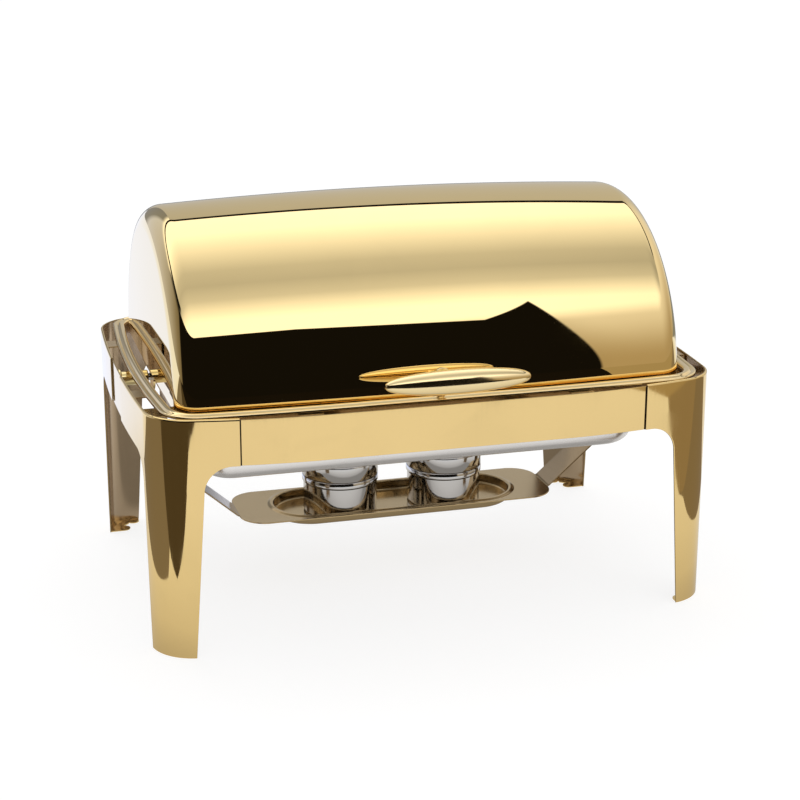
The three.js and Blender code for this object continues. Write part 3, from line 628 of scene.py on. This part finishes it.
def legWall():
    rows, archRow = legRows()
    seamX, seamY = abs(legBox[0].x), abs(legBox[1].y)
    frontSeam, sideSeam = distanceTo(standTrack, 0, seamX), distanceTo(standTrack, 1, -seamY)
    spans = [(distanceTo(standTrack, 0, row[2]), distanceTo(standTrack, 1, -row[3])) for row in rows]

    def seat(distance, row):
        point, out = onTrack(standTrack, distance)
        return point - out * row[1] + Vector((0, 0, row[0]))

    def main(u, v):
        index = round(v * (len(rows) - 1))
        start, end = spans[index]
        return seat(start + (end - start) * u, rows[index])

    bm = sheetOf(64, len(rows) - 1, main)
    upper = rows[archRow:]
    for start, end, columns in ((frontSeam, spans[-1][0], 4), (spans[-1][1], sideSeam, 24)):
        sheetOf(columns, len(upper) - 1,
                lambda u, v: seat(start + (end - start) * u, upper[round(v * (len(upper) - 1))]), bm)
    return bm


def footFlange():
    # the turned-in foot: a narrow strip along the wall with a round-tipped lobe at each end
    strip, lobe, reach = stand["footStrip"], stand["footLobe"], stand["footReach"]
    innerX, innerY = standHalfWidth - stand["frontFoot"], standHalfDepth - stand["sideFoot"]
    inset = 0.0004
    start, end = distanceTo(standTrack, 0, innerX), distanceTo(standTrack, 1, -innerY)
    outline = []
    for i in range(25):
        point, out = onTrack(standTrack, start + (end - start) * i / 24)
        outline.append(point - out * inset)
    tip = Vector((standHalfWidth - reach + lobe / 2, -innerY - lobe / 2, 0))
    outline += [tip + Vector((-math.sin(a), math.cos(a), 0)) * lobe / 2
                for a in (math.pi * i / 8 for i in range(9))]
    stripStart = distanceTo(standTrack, 0, innerX + lobe + strip * 0.5)
    stripEnd = distanceTo(standTrack, 1, -innerY - lobe - strip * 0.3)
    for i in range(15):
        point, out = onTrack(standTrack, stripEnd + (stripStart - stripEnd) * i / 14)
        outline.append(point - out * strip)
    tip = Vector((innerX + lobe / 2, -standHalfDepth + reach - lobe / 2, 0))
    outline += [tip + Vector((math.cos(a), math.sin(a), 0)) * lobe / 2
                for a in (math.pi * i / 8 for i in range(9))]
    made = bmesh.new()
    chain = [made.verts.new(point) for point in outline]
    for pair in zip(chain, chain[1:] + chain[:1]):
        made.edges.new(pair)
    face = bmesh.ops.contextual_create(made, geom=list(made.edges))["faces"]
    lifted = bmesh.ops.extrude_face_region(made, geom=face)["geom"]
    bmesh.ops.translate(made, verts=[v for v in lifted if isinstance(v, bmesh.types.BMVert)],
                        vec=(0, 0, sheetThickness))
    faceOutwards(made)
    return made


def buildLeg(side, sx, end, sy):
    bm = legWall()
    faceOutwards(bm, Vector((0, 0, 0.1)))
    flip = Matrix.Diagonal((sx, -sy, 1, 1))
    bmesh.ops.transform(bm, matrix=flip, verts=bm.verts)
    if sx * -sy < 0:
        bmesh.ops.reverse_faces(bm, faces=bm.faces)
    name = f"leg_{end}_{side}"
    makePiece(name + "_wall", bm, "frame", [name], "standGold", sheetThickness, stand["edge"],
              ["cutEdge", "innerGold"])
    foot = footFlange()
    bmesh.ops.transform(foot, matrix=flip, verts=foot.verts)
    if sx * -sy < 0:
        bmesh.ops.reverse_faces(foot, faces=foot.faces)
    roundSharpEdges(foot, 0.0003)
    makePiece(name + "_foot", foot, "frame", [name], "standGold")


for side, sx in sides:
    for end, sy in ends:
        buildLeg(side, sx, end, sy)
print("legs are bent")


def alongPanel(seam, reach, columns):
    # distances across a panel, with a narrow strip beside each leg's edge that is painted dark as the seam's
    # shadow
    strip = stand["seamStrip"]
    inner = [(-1 + 2 * i / columns) * (seam - strip) for i in range(columns + 1)]
    return [-reach, -seam, *inner, seam, reach]


def panelSheet(middle, seam, reach, columns):
    # a centre panel on the stand's outline, set back behind the leg pieces
    whole = trackLength(standTrack)
    distances = [middle + d for d in alongPanel(seam, reach, columns)]

    def seat(u, v):
        distance = distances[round(u * (len(distances) - 1))]
        folded = abs(distance) if distance <= whole else 2 * whole - distance
        point, out = onTrack(standTrack, folded)
        mirror = Vector((-1 if distance < 0 else 1, -1 if distance > whole else 1, 1))
        point, out = point * mirror, out * mirror
        height = frontBox[0].z + (frontBox[1].z - frontBox[0].z) * v
        return point - out * (sheetThickness + panelGap) + Vector((0, 0, height))

    bm = sheetOf(len(distances) - 1, 4, seat)
    faceOutwards(bm, Vector((0, 0, 0.24)))
    return bm


def paintSeamShadows(bm, axis, seam):
    # faces in the strip beside each leg's edge get the painted-shadow finish, standing in for the seam's
    # shade
    for face in bm.faces:
        away = abs(face.calc_center_median()[axis])
        if seam - stand["seamStrip"] < away < seam:
            face.material_index = 2


def buildPanels():
    seamX, seamY = abs(boxOf("leg_front_right")[0].x), abs(boxOf("leg_front_right")[1].y)
    seam, reach = distanceTo(standTrack, 0, seamX), distanceTo(standTrack, 0, rearBox[1].x)
    for end, sy in ends:
        bm = panelSheet(0.0, seam, reach, 96)
        paintSeamShadows(bm, 0, seamX)
        bmesh.ops.transform(bm, matrix=Matrix.Diagonal((1, -sy, 1, 1)), verts=bm.verts)
        if sy > 0:
            bmesh.ops.reverse_faces(bm, faces=bm.faces)
        makePiece(f"panel_{end}_sheet", bm, "frame", [f"panel_{end}"], "standGold",
                  sheetThickness, stand["edge"], ["cutEdge", "paintedShadow", "innerGold"])
    whole = trackLength(standTrack)
    seam = whole - distanceTo(standTrack, 1, -seamY)
    reach = whole - distanceTo(standTrack, 1, -boxOf("panel_right")[1].y)
    for side, sx in sides:
        bm = panelSheet(whole, seam, reach, 16)
        paintSeamShadows(bm, 1, seamY)
        bmesh.ops.transform(bm, matrix=Matrix.Diagonal((sx, 1, 1, 1)), verts=bm.verts)
        if sx < 0:
            bmesh.ops.reverse_faces(bm, faces=bm.faces)
        makePiece(f"panel_{side}_sheet", bm, "frame", [f"panel_{side}"], "standGold",
                  sheetThickness, stand["edge"], ["cutEdge", "paintedShadow", "innerGold"])


buildPanels()
print("panels are set behind the legs")


def smoothThrough(points, steps):
    # a soft curve through a few (inset, height) pairs
    made = []
    for i in range(len(points) - 1):
        p0, p1 = points[max(i - 1, 0)], points[i]
        p2, p3 = points[i + 1], points[min(i + 2, len(points) - 1)]
        for k in range(steps):
            t = k / steps
            made.append(tuple(
                0.5 * (2 * b + (c - a) * t + (2 * a - 5 * b + 4 * c - d) * t * t
                       + (3 * b - a - 3 * c + d) * t ** 3)
                for a, b, c, d in zip(p0, p1, p2, p3)))
    made.append(points[-1])
    return made


# the rim ring: two beads and a step between them, rolled round the well
ring = {
    "bowRun": 0.1808, "frontSweep": math.radians(4), "sideSweep": math.radians(5.4), "corner": 0.043,
    "width": 0.014, "around": 420,
    "section": ((0.0, 0.35), (0.03, 0.60), (0.10, 0.745), (0.19, 0.76), (0.29, 0.60), (0.38, 0.46),
                (0.45, 0.60), (0.54, 0.86), (0.64, 0.975), (0.73, 1.0), (0.84, 0.96), (0.94, 0.80),
                (1.0, 0.50)),
}


def buildRing():
    low, high = boxOf("rim_ring")
    track = bowedTrack(high.x, high.y, ring["bowRun"], ring["frontSweep"], ring["sideSweep"], ring["corner"])
    height, width = high.z - low.z, ring["width"]
    levels = [(0.0, 0.0)] + smoothThrough(ring["section"], 3) + [(1.0, 0.0)]
    bm, _ = loopsThrough(
        levels,
        lambda turn, level: aroundTrack(track, turn, level[0] * width)
        + Vector((0, 0, low.z + level[1] * height)),
        ring["around"], close=True)
    faceOutwards(bm)
    makePiece("rim_ring_rolled", bm, "frame", ["rim_ring"], "rimGold", sharp=60)


buildRing()
print("rim ring is rolled")


# the lid: a half barrel, a little slimmer towards its ends, with rounded end corners
lid = {
    "sheet": 0.0012, "fillet": 0.026, "crown": 0.007, "dome": 0.0015, "steps": 144, "edge": 0.0003,
}


def lidProfile():
    high = boxOf("lid_shell")[1]
    radius, endX = high.z - pivotZ, high.x
    barrel = endX - lid["dome"] - lid["fillet"]
    endRadius = radius - lid["crown"] - lid["fillet"]
    half = [(barrel * i / 30, radius - lid["crown"] * (i / 30) ** 2) for i in range(31)]
    for i in range(1, 19):
        turn = math.pi / 2 * i / 18
        half.append((barrel + lid["fillet"] * math.sin(turn), endRadius + lid["fillet"] * math.cos(turn)))
    half += [(endX - lid["dome"] * (i / 12) ** 2, endRadius * i / 12) for i in range(11, 0, -1)]
    return [(-x, r) for x, r in reversed(half[1:])] + half


def buildLid():
    low = boxOf("lid_shell")[0]
    bm = bmesh.new()
    start = [bm.verts.new((x, -r, pivotZ)) for x, r in lidProfile()]
    edges = [bm.edges.new(pair) for pair in zip(start, start[1:])]
    bmesh.ops.spin(bm, geom=start + edges, cent=(0, 0, pivotZ), axis=(-1, 0, 0), angle=math.pi,
                   steps=lid["steps"], use_merge=False, use_duplicate=False)
    bmesh.ops.bisect_plane(bm, geom=list(bm.verts) + list(bm.edges) + list(bm.faces), dist=1e-6,
                           plane_co=(0, 0, low.z), plane_no=(0, 0, -1), clear_outer=True)
    faceOutwards(bm, Vector((0, 0, pivotZ)))
    makePiece("lid_barrel", bm, "lid", ["lid_shell"], "lidGold", lid["sheet"], lid["edge"],
              ["cutEdge"])


buildLid()
print("lid is drawn")


# handle: an olive-shaped grip on one short post
handle = {
    "taper": 0.42, "postRadius": 0.0045, "base": 0.009, "baseThick": 0.003, "flare": 0.0022, "flareLong": 1.6,
    "tilt": 10, "gap": 0.0003, "ease": 0.0003, "round": 0.001,
}


def buildHandle():
    low, high = boxOf("handle_grip")
    middle, half, radius = (low + high) / 2, (high.x - low.x) / 2, (high.z - low.z) / 2
    profile = []
    for i in range(73):
        along = -math.cos(math.pi * i / 72)
        profile.append((half * along, radius * max(1 - along * along, 0) ** handle["taper"]))
    bm = spun(profile, middle, Vector((1, 0, 0)), Vector((0, 0, 1)), 72)
    makePiece("handle_olive", bm, "lid", ["handle_grip"], "handleGold", sharp=80)

    tilt = math.radians(handle["tilt"])
    outward = Vector((0, -math.cos(tilt), math.sin(tilt)))
    sideways = Vector((1, 0, 0))
    lidRadius = boxOf("lid_shell")[1].z - pivotZ
    start = lidRadius + handle["gap"]
    end = (middle - Vector((0, 0, pivotZ))).length - radius - handle["gap"]
    ease, bend = handle["ease"], handle["round"]
    base, post, flare, thick = handle["base"], handle["postRadius"], handle["flare"], handle["baseThick"]
    profile = [(start, 0.0), (start, base - ease), (start + ease, base)]
    profile += [(start + thick - bend + bend * math.sin(a), base - bend + bend * math.cos(a))
                for a in (math.pi / 2 * i / 5 for i in range(6))]
    profile += [(start + thick + flare * (1 - math.cos(a)) * handle["flareLong"],
                 post + flare * (1 - math.sin(a)))
                for a in (math.pi / 2 * i / 8 for i in range(9))]
    profile += [(end, post), (end, 0.0)]
    bm = spun(profile, Vector((0, 0, pivotZ)), outward, sideways, 40)
    makePiece("handle_stem", bm, "lid", ["handle_post"], "handleGold", sharp=50)


buildHandle()
print("handle is turned")


# pivot bosses, turned brass between the side panels and the lid
boss = {
    "radius": 0.008, "flange": 0.003, "flangeThick": 0.003, "round": 0.0012, "bore": 0.0043, "deep": 0.015,
}


def buildBosses():
    low, high = boxOf("pivot_boss_right")
    start, end = low.x, high.x
    r, f, e = boss["radius"], boss["flange"], boss["round"]
    profile = [(start + boss["deep"], 0.0), (start + boss["deep"], boss["bore"]), (start, boss["bore"]),
               (start, r - e)]
    profile += [(start + e * (1 - math.cos(a)), r - e + e * math.sin(a))
                for a in (math.pi / 8 * i for i in range(1, 5))]
    neck = end - boss["flangeThick"]
    profile += [(neck - 0.0008, r), (neck - 0.0002, r + 0.0006), (neck, r + f - 0.0006),
                (neck + 0.0006, r + f), (end - 0.0006, r + f), (end, r + f - 0.0006), (end, 0.0)]
    for side, sx in sides:
        points = [(along * sx, out) for along, out in profile]
        bm = spun(points, Vector((0, 0, pivotZ)), Vector((1, 0, 0)), Vector((0, 0, 1)), 48)
        makePiece(f"pivot_boss_{side}_turned", bm, "frame", [f"pivot_boss_{side}"],
                  "bossBrass")


buildBosses()
print("bosses are turned")


def roundedTurn(turn, halfX, halfY, radius):
    # a full turn round a rectangle with round corners: two straight runs and an arc in each quarter
    quarterTurn = turn / (math.pi / 2)
    index, share = int(quarterTurn + 1e-9) % 4, (quarterTurn + 1e-9) % 1
    share = share if index % 2 == 0 else 1 - share
    if share < 0.25:
        x, y = halfX, (halfY - radius) * share / 0.25
    elif share > 0.75:
        x, y = (halfX - radius) * (1 - share) / 0.25, halfY
    else:
        angle = math.pi / 2 * (share - 0.25) / 0.5
        x, y = halfX - radius + radius * math.cos(angle), halfY - radius + radius * math.sin(angle)
    return Vector((x * (1 if index in (0, 3) else -1), y * (1 if index < 2 else -1), 0))


# carrier: an angle-section frame that both pans rest on
carrier = {"ledge": 0.0155, "corner": 0.034, "round": 0.0012, "around": 160}


def buildCarrier():
    low, high = boxOf("carrier")
    t, e, top = sheetThickness, carrier["round"], high.z
    outer = [(e * (1 - math.cos(a)), top - e + e * math.sin(a)) for a in (math.pi / 8 * i for i in range(5))]
    levels = [(0, low.z), *outer, (carrier["ledge"] - 0.0003, top), (carrier["ledge"], top - 0.0003),
              (carrier["ledge"], top - t), (t, top - t), (t, low.z)]
    bm, _ = loopsThrough(
        levels,
        lambda turn, level: Vector((0, 0, level[1]))
        + roundedTurn(turn, high.x - level[0], high.y - level[0], carrier["corner"] - level[0]),
        carrier["around"], close=True)
    faceOutwards(bm)
    makePiece("carrier_angle", bm, "frame", ["carrier"], "bracketGold")


buildCarrier()


# pans: a flat flange, tapering walls and a floor with a soft bend
pans = {
    "water_pan": {"rim": 0.0155, "draft": 0.006, "corner": 0.027, "floor": 0.020},
    "food_pan": {"rim": 0.013, "draft": 0.004, "corner": 0.024, "floor": 0.014},
    "sheet": 0.001, "lip": 0.0022, "around": 192,
}


def buildPan(node, body):
    values = pans[node]
    low, high = boxOf(node)
    top, depth, sheet, lip = high.z, high.z - low.z, pans["sheet"], pans["lip"]
    rim, draft, floor, corner = values["rim"], values["draft"], values["floor"], values["corner"]
    levels = [(0.0, top, corner + rim), (rim + sheet - lip, top, corner + 0.4 * rim)]
    levels += [(rim + sheet - lip + lip * math.sin(a), top - lip * (1 - math.cos(a)), corner)
               for a in (math.pi / 2 * i / 6 for i in range(1, 7))]
    bend, run = floor - sheet, depth - sheet
    for i in range(1, 5):
        share = i / 4
        levels.append((rim + sheet + draft * share, top - lip - (run - bend - lip) * share,
                       corner - draft * share * 0.3))
    for i in range(1, 11):
        a = math.pi / 2 * i / 10
        levels.append((rim + sheet + draft + bend * (1 - math.cos(a)), top - run + bend * (1 - math.sin(a)),
                       corner - 0.3 * (draft + bend * (1 - math.cos(a)))))
    middle = middleOf(node)
    bm, last = loopsThrough(
        levels,
        lambda turn, level: roundedTurn(turn, high.x - level[0], high.y - level[0], max(level[2], 0.004))
        + Vector((0, middle.y, level[1])), pans["around"])
    bmesh.ops.contextual_create(bm, geom=last)
    faceOutwards(bm, Vector((0, 0, -2)))
    makePiece(f"{node}_drawn", bm, body, [node], "panSteel", sheet, 0.0002)


buildPan("water_pan", "water_pan")
buildPan("food_pan", "food_pan")
print("pans are drawn")


# fuel tray with its oval recess, and the two straps it hangs on
tray = {
    "corner": 0.031, "recessX": 0.146, "recessY": 0.0465, "deep": 0.012, "bead": 0.0016, "beadWide": 0.0065,
    "bend": 0.0028, "around": 224, "slope": 41, "strapBend": 0.008, "strapTab": 0.0206,
}


def buildTray():
    high = boxOf("fuel_tray")[1]
    t, top = sheetThickness, high.z
    rx, ry = tray["recessX"], tray["recessY"]
    down = tray["deep"]
    flat = top - tray["bead"]
    levels = [(high.x, high.y, tray["corner"], flat)]
    for i in range(9):
        share = i / 8
        out = tray["beadWide"] * (1 - share)
        rise = tray["bead"] * math.sin(math.pi * min(share * 1.15, 1) / 2) ** 2
        levels.append((rx + out, ry + out, ry + out, flat + rise))
    for i in range(1, 7):
        a = math.pi / 2 * i / 6
        inset = 0.0016 * math.sin(a)
        levels.append((rx - inset, ry - inset, ry - inset, top - 0.0016 * (1 - math.cos(a))))
    bend = tray["bend"]
    for i in range(0, 8):
        a = math.pi / 2 * i / 7
        inset = 0.0024 + bend * (1 - math.cos(a))
        levels.append((rx - inset, ry - inset, ry - inset, top - down + bend * (1 - math.sin(a))))
    bm, last = loopsThrough(
        levels,
        lambda turn, level: roundedTurn(turn, level[0], level[1], level[2]) + Vector((0, 0, level[3])),
        tray["around"])
    bmesh.ops.contextual_create(bm, geom=last)
    faceOutwards(bm, Vector((0, 0, -2)))
    makePiece("fuel_tray_pressed", bm, "frame", ["fuel_tray"], "trayGold", t, 0.00025)


def buildStraps():
    low, high = boxOf("tray_strap_right")
    half = sheetThickness / 2
    z = low.z + half
    upright = high.x - half
    knee = low.x + tray["strapTab"]
    rise = (upright - knee) * math.tan(math.radians(tray["slope"]))
    path = roundedPath([Vector((low.x, 0, z)), Vector((knee, 0, z)), Vector((upright, 0, z + rise)),
                        Vector((upright, 0, high.z))], tray["strapBend"], 6)
    for side, sx in sides:
        bm = sheetOf(8, len(path) - 1, lambda u, v: path[round(v * (len(path) - 1))]
                     + Vector((0, low.y + (high.y - low.y) * u, 0)))
        faceOutwards(bm, Vector((0.5, 0, -0.2)))
        bmesh.ops.transform(bm, matrix=Matrix.Diagonal((sx, 1, 1, 1)), verts=bm.verts)
        if sx < 0:
            bmesh.ops.reverse_faces(bm, faces=bm.faces)
        made = makePiece(f"tray_strap_{side}_bent", bm, "frame", [f"tray_strap_{side}"],
                         "strapGold", sheetThickness, 0.0003)
        made.modifiers["wall"].offset = 0


buildTray()
buildStraps()
print("tray is pressed and hung")


# fuel holders: a drawn cup and a slightly wider cap with the flame's mouth
holder = {
    "wall": 0.0012, "foot": 0.003, "mouth": 0.027, "shoulder": 0.0035,
    "hem": 0.0006, "steps": 96, "shade": 0.0014, "groove": 0.0075, "grooveDeep": 0.0004,
}
rivet = {"shank": 0.0024, "flat": 0.0012, "dome": 0.0017, "ease": 0.0003}


def buildHolder(side):
    low, high = boxOf(f"burner_cup_{side}")
    middle = (low + high) / 2
    origin = Vector((middle.x, middle.y, low.z))
    r, w, foot = (high.x - low.x) / 2, holder["wall"], holder["foot"]
    top = high.z - low.z
    up, sideways = Vector((0, 0, 1)), Vector((1, 0, 0))
    outside = [(0.0, 0.0)] + [(foot * (1 - math.cos(a)), r - foot + foot * math.sin(a))
                              for a in (math.pi / 16 * i for i in range(9))]
    inside = [(top, r - w), (foot, r - w)]
    inside += [(w + (foot - w) * (1 - math.sin(a)), r - foot + (foot - w) * math.cos(a))
               for a in (math.pi / 12 * i for i in range(1, 7))] + [(w, 0.0)]
    capLow = boxOf(f"burner_cap_{side}")[0].z - low.z
    # a band just below the cap's lower edge, painted dark as the shadow gap under the cap
    shade = [(capLow - holder["shade"], r), (capLow + 0.0004, r)]
    mouth = [(top - 0.0003, r), (top, r - 0.0003)]
    bm = spun(outside + shade + mouth + inside, origin, up, sideways, holder["steps"])
    # the band's faces take the painted-shadow finish
    for face in bm.faces:
        height = face.calc_center_median() - origin
        if capLow - holder["shade"] < height.z < capLow and height.xy.length > r - w / 2:
            face.material_index = 1
    body = f"burner_{side}"
    makePiece(f"burner_cup_{side}_drawn", bm, body, [f"burner_cup_{side}"], "cupSteel",
              extras=["paintedShadow"], sharp=50)

    low, high = boxOf(f"burner_cap_{side}")
    out = (high.x - low.x) / 2
    start, end = low.z - origin.z, high.z - origin.z
    inner, s, hem = out - w, holder["shoulder"], holder["hem"]
    profile = [(start + hem, inner)]
    profile += [(start + hem - hem * math.sin(a), (inner + out) / 2 - (out - inner) / 2 * math.cos(a))
                for a in (math.pi / 8 * i for i in range(1, 9))]
    g, deep = start + holder["groove"], holder["grooveDeep"]
    profile += [(g - 2 * deep, out), (g - deep, out - deep), (g, out - 1.4 * deep), (g + deep, out - deep),
                (g + 2 * deep, out)]
    profile += [(end - s + s * math.sin(a), out - s + s * math.cos(a))
                for a in (math.pi / 16 * i for i in range(9))]
    lip = holder["mouth"]
    profile += [(end, lip + 0.0008), (end - 0.0003, lip + 0.0002), (end - w / 2, lip),
                (end - w, lip + 0.0004)]
    profile += [(end - s + (s - w) * math.cos(a), out - s + (s - w) * math.sin(a))
                for a in (math.pi / 12 * i for i in range(7))]
    profile.append((start + hem, inner))
    bm = spun(profile, origin, up, sideways, holder["steps"])
    # the groove's faces take the painted-shadow finish: shade painted into the recess
    for face in bm.faces:
        height = face.calc_center_median() - origin
        if abs(height.z - g) < 1.2 * deep and height.xy.length > out - 2 * deep:
            face.material_index = 1
    makePiece(f"burner_cap_{side}_drawn", bm, body, [f"burner_cap_{side}"], "cupSteel",
              extras=["paintedShadow"], sharp=50)

    low, high = boxOf(f"damper_rivet_{side}")
    middle = (low + high) / 2
    head, tall = (high.x - low.x) / 2, high.z - low.z
    shank, flat, dome, ease = rivet["shank"], rivet["flat"], rivet["dome"], rivet["ease"]
    profile = [(0.0, 0.0), (0.0, head - ease), (ease, head), (flat, head), (flat, shank),
               (tall - dome, shank), (tall - dome, head)]
    profile += [(tall - dome + dome * math.sin(a), head * math.cos(a))
                for a in (math.pi / 14 * i for i in range(8))]
    bm = spun(profile, Vector((middle.x, middle.y, low.z)), up, sideways, 40)
    makePiece(f"damper_rivet_{side}_set", bm, body, [f"damper_rivet_{side}"], "pinSteel")


for side, _ in sides:
    buildHolder(side)
print("fuel holders are drawn")


# the flat brackets, pins and screws keep their plain shapes, with eased edges and their own finish
finishOf = {
    "bracket_gold": "bracketGold", "lid_gold": "lidGold", "fastener_steel": "pinSteel",
    "damper_steel": "panSteel", "boss_brass": "bossBrass", "handle_gold": "handleGold",
    "rim_gold": "rimGold", "stand_gold": "standGold", "pan_steel": "panSteel", "burner_steel": "cupSteel",
}


plain = {"weld": 0.00001, "ease": 0.0002, "angle": 35}


def finishPlainParts():
    for entry in frame["record"]["subparts"]:
        node = frame["nodes"][entry["node"]]
        if node.hide_render:
            continue
        node.data.materials.clear()
        node.data.materials.append(finishes[finishOf[entry["material_slot"]]])
        weld = node.modifiers.new("weld", "WELD")
        weld.merge_threshold = plain["weld"]
        ease = node.modifiers.new("ease", "BEVEL")
        ease.width = plain["ease"]
        ease.segments = 2
        ease.limit_method = "ANGLE"
        ease.angle_limit = math.radians(plain["angle"])


finishPlainParts()
print("plain parts are finished")
